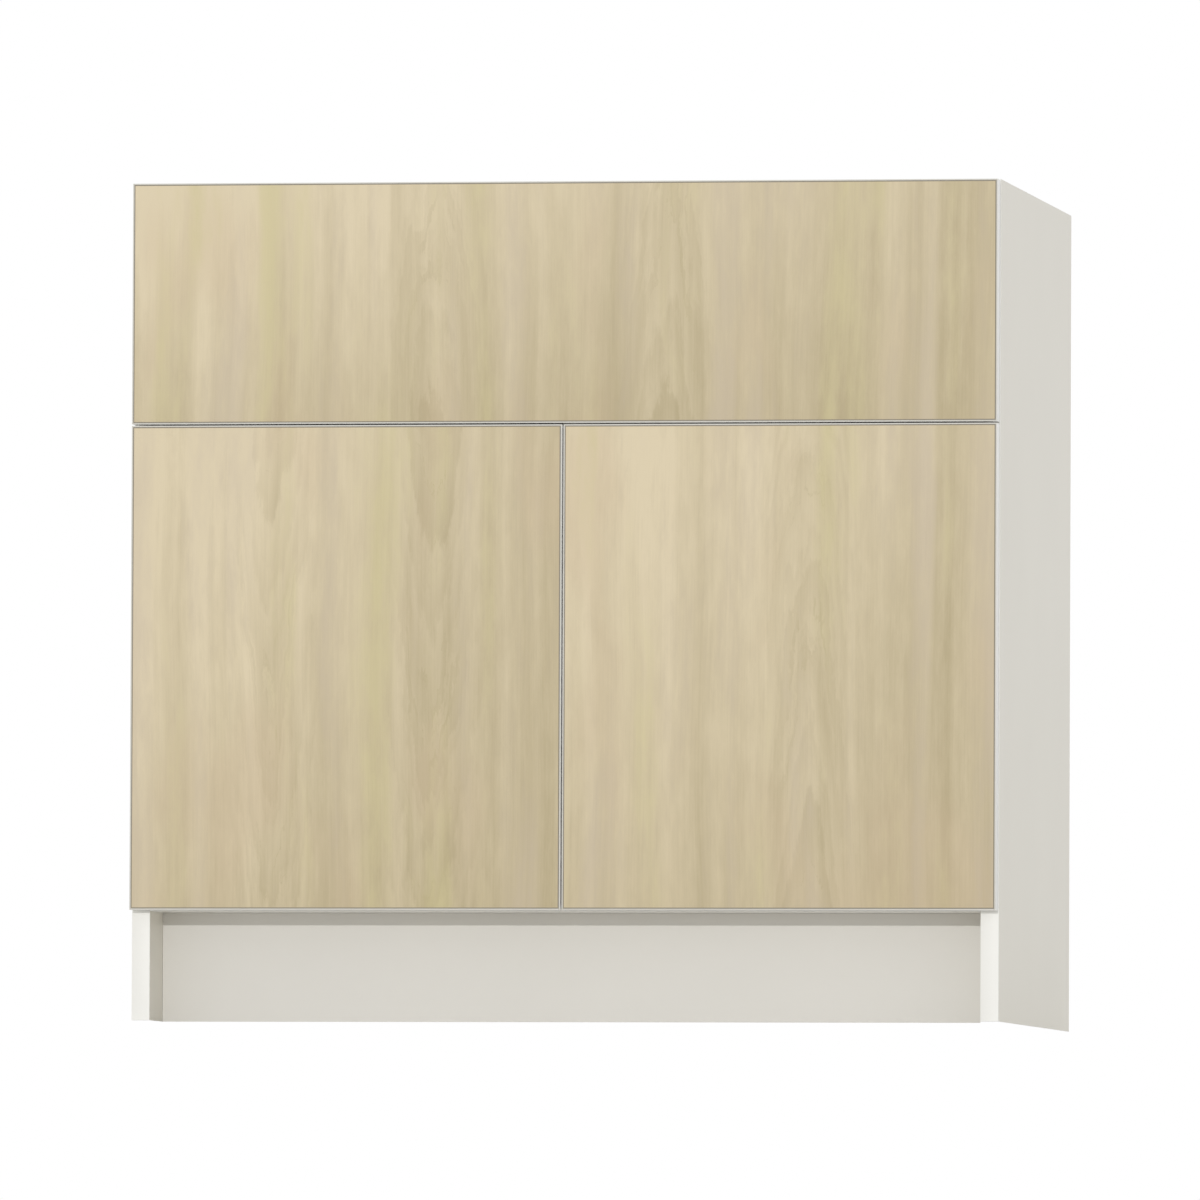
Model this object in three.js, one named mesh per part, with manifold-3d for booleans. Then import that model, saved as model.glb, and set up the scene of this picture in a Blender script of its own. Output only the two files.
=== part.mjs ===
// A sink base cabinet: two doors under a fixed false front, on a carcass with an open top for the bowl.
// Millimetres. X runs along the front from left to right, Y from the front to the back and Z up.
// The origin is on the floor, in the middle of the cabinet's width and depth.
import * as THREE from "three";
import { mergeVertices } from "three/addons/utils/BufferGeometryUtils.js";
import Module from "manifold-3d";

const wasm = await Module();
wasm.setup();

// The whole cabinet
const overallWidth = 914.4;
const overallHeight = 876.3;
const overallDepth = 609.6; // from the doors' faces to the back edges of the sides

// Carcass panels
const panelThickness = 19.05;
const backThickness = 6.35;
const carcassBand = 1; // edge band on the front edges of the sides and the bottom
const toeHeight = 114.3; // underside of the bottom panel
const toeRecess = 76.2; // from the carcass's front edges to the toe-kick board
const grooveDepth = 8;
const grooveClearance = 0.3;
const seam = 0.2; // left between two pieces that are glued or screwed face to face

// Rails
const topRailHeight = 100;
const midRailHeight = 76;
const rearRailHeight = 100;

// Cut-out in the back panel for the water and waste pipes
const serviceWidth = 400;
const serviceHeight = 250;
const serviceBottom = 300;
const serviceRadius = 20;

// Fronts
const frontThickness = 19.05;
const frontStandOff = 2; // between the backs of the fronts and the carcass
const falseFrontHeight = 252.4;
const frontGap = 1.6; // between two fronts
const edgeReveal = 0.8; // from the fronts' outer edges to the carcass's outside
const frontBand = 1.5; // edge band round each front

// False front screws, with a spacer on each
const screwRadius = 2;
const screwHeadRadius = 4.6;
const screwHeadHeight = 2.8;
const screwBite = 13; // depth in the false front
const screwInset = 140; // from the side panel's inner face
const screwClearance = 0.35; // round the screw in its holes
const spacerRadius = 8;

// Door bumpers
const bumperRadius = 5;
const bumperInset = 30; // from the door's free edge
const bumperLow = 9; // above the door's lower edge
const bumperHigh = 11; // below the door's upper edge

// Worktop brackets
const bracketLeg = 25;
const bracketWidth = 20;
const bracketThickness = 2;
const bracketHole = 2.5; // radius
const bracketSetBack = 22; // from the nearest rail or back panel

// Hinges: places on the door and the side panel
const hingeEndDistance = 90; // from the door's end to the hinge's middle
const cupCentre = 21.5; // from the door's outer edge
const cupBoreRadius = 17.5;
const cupBoreDepth = 13.9;
const cupClearance = 0.3;
const cupWall = 0.8;
const cupRim = 0.9; // width and thickness of the flange round the cup's mouth
const cupSides = 32; // facets of a cup and its bore
const wingWidth = 23;
const wingHeight = 56;
const wingRadius = 6;
const wingOffset = 5.5; // from the cup's middle towards the door's free edge
const plateSetBack = 37; // from the carcass's front edge to the plate's screws
const plateScrewSpacing = 32;
const plateScrewRadius = 2.5;
const plateThickness = 2.4;
const plateLength = 48;
const plateHeight = 18;
const plateWingLength = 16;
const plateWingHeight = 48;
const plateRadius = 3;

// Hinge pins, seen from above: on the cup from the door's outer edge and back face,
// and on the arm from the side panel's inner face and the door's back face
const cupPinOuter = [9.7, -7.5];
const cupPinInner = [13.8, -4.2];
const armPinOuter = [11.6, 12.9];
const armPinInner = [21.6, 5.1];

// Hinge motion: a link turns by its share of the door's turn, and the other way
const doorOpening = 110; // degrees
const outerLinkShare = 0.27;
const innerLinkShare = 0.37;

// Where the middle of an open hinge's links passes over the door's back face
const rimInset = 5.8; // from the door's outer edge
const rimHeight = 1.15;
const edgeOverhang = 1.5; // past the door's outer edge
const edgeHeight = 1.2;

// Hinge metal, outwards from the middle of its height
const innerLinkHalf = 2.8;
const hingeGap = 0.4; // between neighbouring parts of a hinge
const lugThickness = 1.4;
const lugWidth = 4;
const lugLean = 2.5;
const cheekThickness = 1.5;
const armFlange = 1.2;
const linkThickness = 1.5;
const pinRadius = 1.2;
const pinClearance = 0.25;
const eyeWall = 1;
const looseClearance = 2.4; // round the arm's inner pin, where the linkage is left open
const armDepth = 12; // over the hinge plate, at the back of the arm
const armWeb = 1.2;
const rimCut = 4; // depth of the cup's wall that is cut away for the links

const finishes = {
  laminate: finish(0xcdbfa1, 0.5, 0),
  frontEdge: finish(0xcecbc1, 0.5, 0),
  melamine: finish(0xd5d2c9, 0.5, 0),
  whiteEdge: finish(0xf0efea, 0.45, 0),
  backBoard: finish(0xdcd9d0, 0.6, 0),
  nickel: finish(0xb9b7b2, 0.3, 1),
  zinc: finish(0xa9aaa8, 0.4, 1),
  bumper: finish(0xe6e6e2, 0.35, 0),
};

// Planes that everything else is set from
const halfWidth = overallWidth / 2;
const frontFace = -overallDepth / 2;
const rearFace = overallDepth / 2;
const frontBack = frontFace + frontThickness;
const carcassFront = frontBack + frontStandOff;
const panelFront = carcassFront + carcassBand + seam;
const sideInner = halfWidth - panelThickness;
const bottomTop = toeHeight + panelThickness;
const backRear = rearFace - panelThickness - seam;
const backFront = backRear - backThickness;
const falseFrontTop = overallHeight - edgeReveal;
const falseFrontBottom = falseFrontTop - falseFrontHeight;
const doorTop = falseFrontBottom - frontGap;
const doorBottom = toeHeight + edgeReveal;
const doorOuter = halfWidth - edgeReveal;
const doorFree = frontGap / 2;
const midRailMiddle = falseFrontBottom - frontGap / 2;
const overlay = panelThickness - edgeReveal; // how far a door reaches over the side's front edge
const lugInner = innerLinkHalf + hingeGap;
const lugOuter = lugInner + lugThickness;
const cheekInner = lugOuter + hingeGap;
const cheekOuter = cheekInner + cheekThickness;
const flangeInner = cheekOuter + hingeGap;
const flangeOuter = flangeInner + armFlange;
const eyeRadius = pinRadius + pinClearance + eyeWall;

function finish(color, roughness, metalness) {
  return new THREE.MeshStandardMaterial({ color, roughness, metalness });
}

// ---- Shapes ----------------------------------------------------------------------------------------------

// The closed solid of a three.js geometry
function solidOf(geometry) {
  geometry.deleteAttribute("normal");
  geometry.deleteAttribute("uv");
  const merged = mergeVertices(geometry, 1e-4);
  return new wasm.Manifold(
    new wasm.Mesh({
      numProp: 3,
      vertProperties: merged.attributes.position.array,
      triVerts: new Uint32Array(merged.index.array),
    }),
  );
}

const joined = (...solids) => solids.reduce((whole, next) => whole.add(next));
const cutBy = (solid, ...cuts) => cuts.reduce((whole, next) => whole.subtract(next), solid);

// A mesh of a solid, standing at the given point of its group
function meshOf(name, material, solid, at = [0, 0, 0]) {
  const { vertProperties, triVerts } = solid.getMesh();
  const geometry = new THREE.BufferGeometry();
  geometry.setAttribute("position", new THREE.BufferAttribute(vertProperties, 3));
  geometry.setIndex(new THREE.BufferAttribute(triVerts, 1));
  geometry.translate(-at[0], -at[1], -at[2]);
  geometry.computeVertexNormals();
  const mesh = new THREE.Mesh(geometry, material);
  mesh.name = name;
  mesh.position.set(...at);
  return mesh;
}

// A box between two opposite corners
function block(corner, opposite) {
  const size = corner.map((start, i) => Math.abs(opposite[i] - start));
  const middle = corner.map((start, i) => (start + opposite[i]) / 2);
  return solidOf(new THREE.BoxGeometry(...size).translate(...middle));
}

// A board between two opposite corners, less whatever is cut from it. It stands at its first corner.
function board(name, material, corner, opposite, ...cuts) {
  return meshOf(name, material, cutBy(block(corner, opposite), ...cuts), corner);
}

// A round bar along one axis, from the centre of one end to the other end's place on that axis
const turnedTo = {
  x: (cylinder) => cylinder.rotateZ(Math.PI / 2),
  y: (cylinder) => cylinder,
  z: (cylinder) => cylinder.rotateX(Math.PI / 2),
};
function bar(radius, axis, start, end, sides = 12) {
  const along = "xyz".indexOf(axis);
  const middle = start.with(along, (start[along] + end) / 2);
  const cylinder = new THREE.CylinderGeometry(radius, radius, Math.abs(end - start[along]), sides);
  return solidOf(turnedTo[axis](cylinder).translate(...middle));
}

// An outline pushed along one axis: of X and Y along Z, of X and Z along Y, or of Y and Z along X
const pushedAlong = {
  x: (geometry, start) => geometry.rotateX(Math.PI / 2).rotateZ(Math.PI / 2).translate(start, 0, 0),
  y: (geometry, start, end) => geometry.rotateX(Math.PI / 2).translate(0, end, 0),
  z: (geometry, start) => geometry.translate(0, 0, start),
};
function pushed(outline, axis, start, end, curveSegments = 3) {
  const options = { depth: end - start, bevelEnabled: false, curveSegments };
  return solidOf(pushedAlong[axis](new THREE.ExtrudeGeometry(outline, options), start, end));
}

// The outline of a rectangle with round corners
function roundedRectangle(x0, y0, x1, y1, radius) {
  const shape = new THREE.Shape();
  shape.absarc(x1 - radius, y1 - radius, radius, 0, Math.PI / 2);
  shape.absarc(x0 + radius, y1 - radius, radius, Math.PI / 2, Math.PI);
  shape.absarc(x0 + radius, y0 + radius, radius, Math.PI, 1.5 * Math.PI);
  shape.absarc(x1 - radius, y0 + radius, radius, 1.5 * Math.PI, 2 * Math.PI);
  return shape;
}

// A strip of one thickness along a course seen from above, with mitred bends
function strip(course, thickness, low, high) {
  const points = course.map(([x, y]) => new THREE.Vector2(x, y));
  const normals = points
    .slice(1)
    .map((end, i) => new THREE.Vector2(points[i].y - end.y, end.x - points[i].x).setLength(thickness / 2));
  const mitres = points.map((_, i) => {
    const both = normals[Math.max(i - 1, 0)].clone().add(normals[Math.min(i, normals.length - 1)]);
    return both.multiplyScalar(thickness ** 2 / 2 / both.lengthSq());
  });
  const left = points.map((point, i) => point.clone().add(mitres[i]));
  const right = points.map((point, i) => point.clone().sub(mitres[i]));
  return pushed(new THREE.Shape([...right, ...left.reverse()]), "z", low, high);
}

// A turned part on the Y axis, from a profile of radius and distance along the axis
function turnedPart(profile, sides = 12) {
  return solidOf(new THREE.LatheGeometry(profile.map(([r, y]) => new THREE.Vector2(r, y)), sides));
}

function groupAt(x, y, z, ...children) {
  const group = new THREE.Group();
  group.position.set(x, y, z);
  group.add(...children);
  return group;
}

// ---- Carcass: side is -1 on the left and 1 on the right --------------------------------------------------

const sides = { left: -1, right: 1 };

// A side runs to the floor. It is grooved for the back, and its front edge is banded.
function sidePanel(word) {
  const side = sides[word];
  const inner = side * sideInner;
  const outer = side * halfWidth;
  const groove = block(
    [inner - side * seam, backFront - grooveClearance, bottomTop - grooveDepth],
    [inner + side * grooveDepth, backRear + grooveClearance, overallHeight + seam],
  );
  const sideOf = (name, material, start, end, ...cuts) =>
    board(`${name}_${word}`, material, [outer, start, 0], [inner, end, overallHeight], ...cuts);
  return [
    sideOf("side_panel", finishes.melamine, panelFront, rearFace, groove),
    sideOf("edge_band_side", finishes.whiteEdge, carcassFront, carcassFront + carcassBand),
  ];
}

// A board that spans the carcass between the two sides
function crossBoard(name, material, [y0, y1], [z0, z1], ...cuts) {
  const reach = sideInner - seam;
  return board(name, material, [-reach, y0, z0], [reach, y1, z1], ...cuts);
}

function bottomPanel() {
  const groove = block(
    [-halfWidth, backFront - grooveClearance, bottomTop - grooveDepth],
    [halfWidth, backRear + grooveClearance, bottomTop + seam],
  );
  const height = [toeHeight, bottomTop];
  const bandDepth = [carcassFront, carcassFront + carcassBand];
  return [
    crossBoard("bottom_panel", finishes.melamine, [panelFront, rearFace], height, groove),
    crossBoard("edge_band_bottom", finishes.whiteEdge, bandDepth, height),
  ];
}

// The back sits in the grooves of the sides and the bottom, and is cut out for the pipes.
function backPanel() {
  const reach = sideInner + grooveDepth - grooveClearance;
  const opening = roundedRectangle(
    -serviceWidth / 2,
    serviceBottom,
    serviceWidth / 2,
    serviceBottom + serviceHeight,
    serviceRadius,
  );
  return board(
    "back_panel",
    finishes.backBoard,
    [-reach, backFront, bottomTop - grooveDepth + grooveClearance],
    [reach, backRear, overallHeight],
    pushed(opening, "y", backFront - seam, backRear + seam, 6),
  );
}

// A false front screw's place, by column and by the rail that it goes through
const screwColumns = { left: screwInset - sideInner, right: sideInner - screwInset };
const screwRows = {
  upper: overallHeight - topRailHeight / 2,
  lower: (falseFrontBottom + midRailMiddle + midRailHeight / 2) / 2,
};
const railBack = carcassFront + panelThickness;

function screwHoles(row, start, end) {
  return Object.values(screwColumns).map((x) =>
    bar(screwRadius + screwClearance, "y", [x, start, screwRows[row]], end),
  );
}

function rails() {
  const frontRail = [carcassFront, railBack];
  const rearRail = [rearFace - panelThickness, rearFace];
  const toeFront = carcassFront + toeRecess;
  const topHeight = [overallHeight - topRailHeight, overallHeight];
  const midHeight = [midRailMiddle - midRailHeight / 2, midRailMiddle + midRailHeight / 2];
  const rearBottom = bottomTop + seam;
  const toeSpace = [0, toeHeight - seam];
  const holes = (row) => screwHoles(row, carcassFront - seam, railBack + seam);
  const wood = finishes.melamine;
  return [
    crossBoard("front_top_rail", wood, frontRail, topHeight, ...holes("upper")),
    crossBoard("mid_rail", wood, frontRail, midHeight, ...holes("lower")),
    crossBoard("rear_top_rail", wood, rearRail, [overallHeight - rearRailHeight, overallHeight]),
    crossBoard("rear_bottom_rail", wood, rearRail, [rearBottom, rearBottom + rearRailHeight]),
    crossBoard("toe_kick_board", wood, [toeFront, toeFront + panelThickness], toeSpace),
    crossBoard("rear_toe_rail", wood, rearRail, toeSpace),
  ];
}

// A steel angle in each top corner holds the worktop, drawn for the left side and mirrored for the right.
function worktopBracket(place, word, y) {
  const half = bracketWidth / 2;
  const top = overallHeight - seam;
  const wall = seam + bracketThickness;
  const middle = (bracketLeg + bracketThickness) / 2;
  const upright = block([seam, -half, top - bracketLeg], [wall, half, top]);
  const flat = block([seam, -half, top - bracketThickness], [seam + bracketLeg, half, top]);
  const angle = cutBy(
    joined(upright, flat),
    bar(bracketHole, "x", [0, 0, top - middle], wall + seam),
    bar(bracketHole, "z", [seam + middle, 0, top - bracketThickness - seam], top + seam),
  );
  const mesh = meshOf(`worktop_bracket_${place}_${word}`, finishes.zinc, angle);
  const bracket = groupAt(sides[word] * sideInner, y, 0, mesh);
  bracket.scale.x = -sides[word];
  return bracket;
}

// ---- Fronts ----------------------------------------------------------------------------------------------

// A laminated board with an edge band round it, between two corners seen from the front
function front(name, [x0, z0], [x1, z1], ...cuts) {
  const outside = block([x0, frontFace, z0], [x1, frontBack, z1]);
  const inset = (distance, spare) =>
    block(
      [x0 + distance, frontFace - spare, z0 + distance],
      [x1 - distance, frontBack + spare, z1 - distance],
    );
  const core = cutBy(inset(frontBand + seam, 0), ...cuts);
  const band = cutBy(outside, inset(frontBand, seam));
  const corner = [x0, frontFace, z0];
  return [
    meshOf(name, finishes.laminate, core, corner),
    meshOf(`${name}_edge_band`, finishes.frontEdge, band, corner),
  ];
}

function falseFront() {
  const pilots = Object.keys(screwRows).flatMap((row) =>
    screwHoles(row, frontBack - screwBite - screwClearance, frontBack + seam),
  );
  return front("false_front", [-doorOuter, falseFrontBottom], [doorOuter, falseFrontTop], ...pilots);
}

// A pan-head screw from inside the carcass, and the spacer that it holds between the rail and the front
function falseFrontScrew(row, column) {
  const shank = railBack - (frontBack - screwBite);
  const profile = [
    [0, -shank],
    [screwRadius, -shank + screwRadius],
    [screwRadius, seam],
    [screwHeadRadius, seam],
    [screwHeadRadius, seam + screwHeadHeight / 2],
    [screwHeadRadius - screwHeadHeight / 2, seam + screwHeadHeight],
    [0, seam + screwHeadHeight],
  ];
  const spacer = cutBy(
    bar(spacerRadius, "y", [0, seam, 0], frontStandOff - seam, 20),
    bar(screwRadius + screwClearance, "y", [0, 0, 0], frontStandOff),
  );
  const [x, z] = [screwColumns[column], screwRows[row]];
  const screw = meshOf(`false_front_screw_${row}_${column}`, finishes.zinc, turnedPart(profile));
  const washer = meshOf(`false_front_spacer_${row}_${column}`, finishes.bumper, spacer);
  return [groupAt(x, railBack, z, screw), groupAt(x, frontBack, z, washer)];
}

const hingeHeights = { upper: doorTop - hingeEndDistance, lower: doorBottom + hingeEndDistance };

function door(word) {
  const side = sides[word];
  const ends = [side * doorFree, side * doorOuter].sort((a, b) => a - b);
  const bores = Object.values(hingeHeights).map((z) => {
    const floor = [side * (doorOuter - cupCentre), frontBack - cupBoreDepth, z];
    return bar(cupBoreRadius, "y", floor, frontBack + seam, cupSides);
  });
  return front(`door_${word}`, [ends[0], doorBottom], [ends[1], doorTop], ...bores);
}

// A soft button on the door's back, which meets the mid rail or the bottom
function doorBumper(word, level) {
  const x = sides[word] * (doorFree + bumperInset);
  const z = level === "upper" ? doorTop - bumperHigh : doorBottom + bumperLow;
  const height = frontStandOff - seam;
  const profile = [
    [0, seam],
    [bumperRadius, seam],
    [bumperRadius, (seam + height) / 2],
    [bumperRadius / 2, height],
    [0, height],
  ];
  const bumper = meshOf(`door_bumper_${level}_${word}`, finishes.bumper, turnedPart(profile));
  return groupAt(x, frontBack, z, bumper);
}

// ---- Concealed hinges ------------------------------------------------------------------------------------
// Each is drawn for the left door, in a frame at the door's outer edge, its back face and the hinge's
// middle: X runs inwards over the door and Y into the cabinet. The right door's are mirrored.

const armPinOuterAt = [overlay + armPinOuter[0], armPinOuter[1]];
const armPinInnerAt = [overlay + armPinInner[0], armPinInner[1]];
const cupFloor = cupClearance - cupBoreDepth + cupWall;
const cupOutside = cupBoreRadius - cupClearance;

function upAndDown(make, inner, outer) {
  return joined(make(inner, outer), make(-outer, -inner));
}

function pin([x, y], half, radius = pinRadius) {
  return bar(radius, "z", [x, y, -half], half);
}

// The cup drops into the door's bore. Its outer pin crosses it, and its inner pin stands between two lugs.
function hingeCup() {
  const rim = cupOutside + cupClearance + cupRim;
  const top = seam + cupRim;
  const wings = roundedRectangle(
    cupCentre + wingOffset - wingWidth / 2,
    -wingHeight / 2,
    cupCentre + wingOffset + wingWidth / 2,
    wingHeight / 2,
    wingRadius,
  );
  const body = bar(cupOutside, "y", [cupCentre, cupFloor - cupWall, 0], top, cupSides);
  const hollow = bar(cupOutside - cupWall, "y", [cupCentre, cupFloor, 0], top + seam, cupSides);
  const slot = (start, depth, end) => block([start, -depth, -flangeInner], [end, top + seam, flangeInner]);
  const shell = cutBy(
    joined(body, bar(rim, "y", [cupCentre, seam, 0], top, cupSides), pushed(wings, "y", seam, top)),
    hollow,
    slot(cupCentre - rim - seam, rimCut, cupPinOuter[0] - pinRadius),
    slot(cupCentre, hingeGap, cupCentre + rim + wingWidth),
  );
  const crossPin = pin(cupPinOuter, cupBoreRadius).intersect(body);
  const lugFoot = [cupPinInner[0] + lugLean, cupFloor - cupWall / 2];
  const lug = (low, high) =>
    joined(
      strip([cupPinInner, lugFoot], lugWidth, low, high),
      bar(lugWidth / 2, "z", [...cupPinInner, low], high),
    );
  return joined(shell, crossPin, upAndDown(lug, lugInner, lugOuter), pin(cupPinInner, lugOuter));
}

// A point of the open hinge, beside the door, as it lies on a link of the shut one
function onShutLink([x, y], [pinX, pinY], share) {
  const turn = THREE.MathUtils.degToRad(-(1 + share) * doorOpening);
  const shut = new THREE.Vector2(x, y).rotateAround(new THREE.Vector2(pinX, pinY), turn);
  return shut.toArray();
}

// A link's course from its pin on the cup to its pin on the arm, cranked to clear the open door's edge
function linkCourse(cupPin, armPin, share) {
  const rim = onShutLink([rimInset, rimHeight], cupPin, share);
  const edge = onShutLink([-edgeOverhang, edgeHeight], cupPin, share);
  return [cupPin, rim, edge, armPin];
}

// Two cheeks, joined by the tubes that turn on the outer pins
function outerLink() {
  const course = linkCourse(cupPinOuter, armPinOuterAt, outerLinkShare);
  const cheek = (low, high) => strip(course, linkThickness, low, high);
  const cheeks = upAndDown(cheek, cheekInner, cheekOuter);
  const tube = (at) => pin(at, cheekOuter, eyeRadius);
  const bore = (at) => pin(at, cheekOuter + seam, pinRadius + pinClearance);
  return cutBy(
    joined(cheeks, tube(cupPinOuter), tube(armPinOuterAt)),
    bore(cupPinOuter),
    bore(armPinOuterAt),
  );
}

// One strip between the cheeks. Its eye on the arm's inner pin is the wide one.
function innerLink() {
  const course = linkCourse(cupPinInner, armPinInnerAt, innerLinkShare);
  const blade = strip(course, linkThickness, -innerLinkHalf, innerLinkHalf);
  const wide = pinRadius + looseClearance;
  const eye = pin(cupPinInner, innerLinkHalf, eyeRadius);
  const wideEye = pin(armPinInnerAt, innerLinkHalf, wide + eyeWall);
  return cutBy(
    joined(blade, eye, wideEye),
    pin(cupPinInner, innerLinkHalf + seam, pinRadius + pinClearance),
    pin(armPinInnerAt, innerLinkHalf + seam, wide),
  );
}

const plateBottom = overlay + seam;
const plateTop = plateBottom + plateThickness;
const plateMiddle = frontStandOff + plateSetBack;

// A pressed channel over the plate: two flanges that hold the arm's pins, and a web along their top
function hingeArm() {
  const base = plateTop + seam;
  const rear = plateMiddle + plateLength / 2 - plateRadius;
  const nose = seam + cupRim + hingeGap;
  const [ax, ay] = armPinOuterAt;
  const [cx, cy] = armPinInnerAt;
  const wide = pinRadius + looseClearance + 2 * eyeWall;
  const outline = new THREE.Shape(
    [
      [base, rear],
      [base, ay + 2 * eyeRadius],
      [ax - eyeRadius, ay],
      [cx, nose],
      [cx + wide, cy],
      [base + armDepth, plateMiddle],
      [base + armDepth, rear],
    ].map(([x, y]) => new THREE.Vector2(x, y)),
  );
  const flange = (low, high) =>
    cutBy(
      joined(
        pushed(outline, "z", low, high),
        bar(eyeRadius + eyeWall, "z", [ax, ay, low], high),
        bar(wide, "z", [cx, cy, low], high),
      ),
      block([0, nose - 2 * wide, low - seam], [cx + 2 * wide, nose, high + seam]),
    );
  const webTop = base + armDepth - armWeb / 2;
  const web = [
    [cx + eyeWall, cy + wide + looseClearance + armWeb],
    [webTop, plateMiddle],
    [webTop, rear - armWeb / 2],
  ];
  return joined(
    upAndDown(flange, flangeInner, flangeOuter),
    strip(web, armWeb, -flangeInner - seam, flangeInner + seam),
    pin(armPinOuterAt, flangeOuter),
    pin(armPinInnerAt, flangeOuter),
  );
}

// The outline of a plate with a wing on each side, its corners rounded
function wingedOutline(middle, halfLength, halfHeight, wingHalfLength, wingHalfHeight, radius) {
  const quarter = Math.PI / 2;
  const shape = new THREE.Shape();
  const corner = (x, y, turn) =>
    shape.absarc(
      middle + x - Math.sign(x) * radius,
      y - Math.sign(y) * radius,
      radius,
      turn * quarter,
      (turn + 1) * quarter,
    );
  const notch = (x, y) => shape.lineTo(middle + x, y);
  corner(halfLength, halfHeight, 0);
  notch(wingHalfLength, halfHeight);
  corner(wingHalfLength, wingHalfHeight, 0);
  corner(-wingHalfLength, wingHalfHeight, 1);
  notch(-wingHalfLength, halfHeight);
  corner(-halfLength, halfHeight, 1);
  corner(-halfLength, -halfHeight, 2);
  notch(-wingHalfLength, -halfHeight);
  corner(-wingHalfLength, -wingHalfHeight, 2);
  corner(wingHalfLength, -wingHalfHeight, 3);
  notch(wingHalfLength, -halfHeight);
  corner(halfLength, -halfHeight, 3);
  return shape;
}

// The plate on the side panel, with a screw hole in each wing
function hingePlate() {
  const outline = wingedOutline(
    plateMiddle,
    plateLength / 2,
    plateHeight / 2,
    plateWingLength / 2,
    plateWingHeight / 2,
    plateRadius,
  );
  for (const side of Object.values(sides)) {
    const hole = new THREE.Path();
    hole.absarc(plateMiddle, (side * plateScrewSpacing) / 2, plateScrewRadius, 0, 2 * Math.PI, true);
    outline.holes.push(hole);
  }
  return pushed(outline, "x", plateBottom, plateTop, 4);
}

function hinge(level, word) {
  const parts = {
    cup: hingeCup,
    outer_link: outerLink,
    inner_link: innerLink,
    arm: hingeArm,
    plate: hingePlate,
  };
  const meshes = Object.entries(parts).map(([part, make]) =>
    meshOf(`hinge_${part}_${level}_${word}`, finishes.nickel, make()),
  );
  const group = groupAt(sides[word] * doorOuter, frontBack, hingeHeights[level], ...meshes);
  group.scale.x = -sides[word];
  return group;
}

// ---- The cabinet -----------------------------------------------------------------------------------------

const words = Object.keys(sides);
const levels = Object.keys(hingeHeights);
const bracketPlaces = { front: railBack + bracketSetBack, rear: backFront - bracketSetBack };

const carcass = groupAt(
  0,
  0,
  0,
  ...words.flatMap(sidePanel),
  ...bottomPanel(),
  backPanel(),
  ...rails(),
  ...Object.entries(bracketPlaces).flatMap(([place, y]) =>
    words.map((word) => worktopBracket(place, word, y)),
  ),
  ...falseFront(),
  ...Object.keys(screwRows).flatMap((row) => words.flatMap((column) => falseFrontScrew(row, column))),
);

const doors = words.map((word) =>
  groupAt(0, 0, 0, ...door(word), ...levels.map((level) => doorBumper(word, level))),
);

const hinges = words.flatMap((word) => levels.map((level) => hinge(level, word)));

export default new THREE.Group().add(carcass, ...doors, ...hinges);
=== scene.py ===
import math

import bmesh
import bpy
from mathutils import Matrix, Vector


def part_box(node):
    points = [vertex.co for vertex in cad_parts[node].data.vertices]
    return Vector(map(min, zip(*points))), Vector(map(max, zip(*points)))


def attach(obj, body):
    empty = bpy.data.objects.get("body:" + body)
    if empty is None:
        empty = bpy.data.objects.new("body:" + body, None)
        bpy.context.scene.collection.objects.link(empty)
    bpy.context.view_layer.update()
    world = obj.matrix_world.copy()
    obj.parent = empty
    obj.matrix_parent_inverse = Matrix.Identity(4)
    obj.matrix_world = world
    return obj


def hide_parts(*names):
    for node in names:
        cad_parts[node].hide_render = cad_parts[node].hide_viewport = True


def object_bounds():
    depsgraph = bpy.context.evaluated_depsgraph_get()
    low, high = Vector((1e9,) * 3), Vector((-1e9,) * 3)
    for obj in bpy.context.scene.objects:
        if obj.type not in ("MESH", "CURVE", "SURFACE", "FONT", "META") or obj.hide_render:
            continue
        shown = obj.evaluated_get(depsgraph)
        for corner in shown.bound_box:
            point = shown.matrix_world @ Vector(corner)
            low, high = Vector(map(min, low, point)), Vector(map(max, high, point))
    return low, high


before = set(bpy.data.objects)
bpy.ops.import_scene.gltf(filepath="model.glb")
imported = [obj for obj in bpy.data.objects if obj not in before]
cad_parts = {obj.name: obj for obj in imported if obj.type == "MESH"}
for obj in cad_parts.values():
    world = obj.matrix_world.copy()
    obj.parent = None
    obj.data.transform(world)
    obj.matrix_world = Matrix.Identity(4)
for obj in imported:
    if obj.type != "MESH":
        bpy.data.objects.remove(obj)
cad_box = [list(corner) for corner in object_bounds()]

# ---- Carcass boards ---------------------------------------------------------------------------------------
# Chipboard, 19 mm thick, faced on both sides with off-white melamine. Sawn edges and grooves show the chips;
# the long edges of the two front rails are banded in the same white.


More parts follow.
